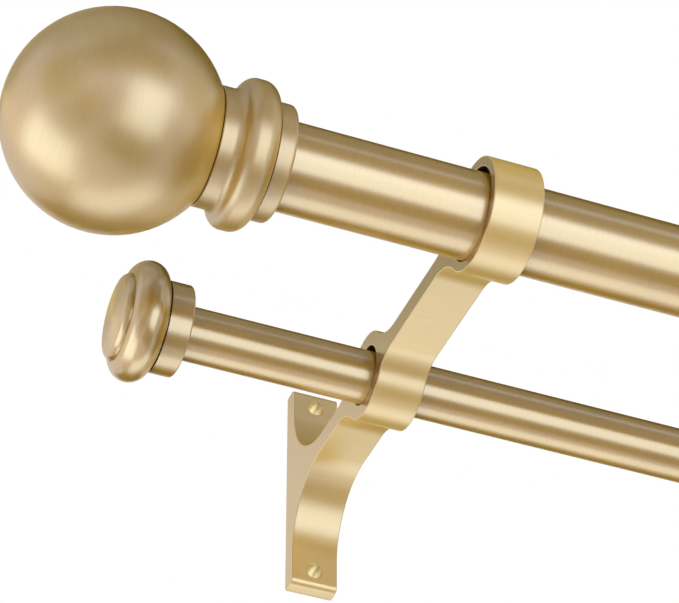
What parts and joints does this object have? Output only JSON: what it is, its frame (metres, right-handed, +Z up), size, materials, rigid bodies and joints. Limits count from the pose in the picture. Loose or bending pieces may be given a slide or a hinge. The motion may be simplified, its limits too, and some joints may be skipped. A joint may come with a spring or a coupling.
{
  "type": "double curtain pole",
  "caption": "Double curtain pole: thick front pole with ball finials and thin rear pole with capped ends, both passed through the rings of extruded wall brackets.",
  "frame": {"origin": "on the wall plane, midway between the brackets and at the centre of the wall screw holes", "axes": "+X along the poles, to the right as seen from the room; +Y into the wall; +Z up"},
  "size_m": [0.7604, 0.1742, 0.0744],
  "materials": {
    "pole": "satin brushed along its length, champagne gold",
    "bracket": "satin champagne gold on the extruded faces, matte cut sides",
    "turned": "satin brushed round its axis, champagne gold",
    "ball": "satin brushed round its axis, champagne gold",
    "plug": "plain moulded",
    "screw": "plain zinc"
  },
  "bodies": {
    "root": {"front_pole": "pole", "rear_pole": "pole", "left_bracket": "bracket", "left_front_set_screw": "screw", "left_rear_set_screw": "screw", "left_front_plug": "plug", "left_collar": "turned", "left_ball": "ball", "left_stud": "screw", "left_rear_plug": "plug", "left_cap": "turned", "left_button": "turned", "left_cap_screw": "screw", "right_bracket": "bracket", "right_front_set_screw": "screw", "right_rear_set_screw": "screw", "right_front_plug": "plug", "right_collar": "turned", "right_ball": "ball", "right_stud": "screw", "right_rear_plug": "plug", "right_cap": "turned", "right_button": "turned", "right_cap_screw": "screw"}
  },
  "joints": []
}
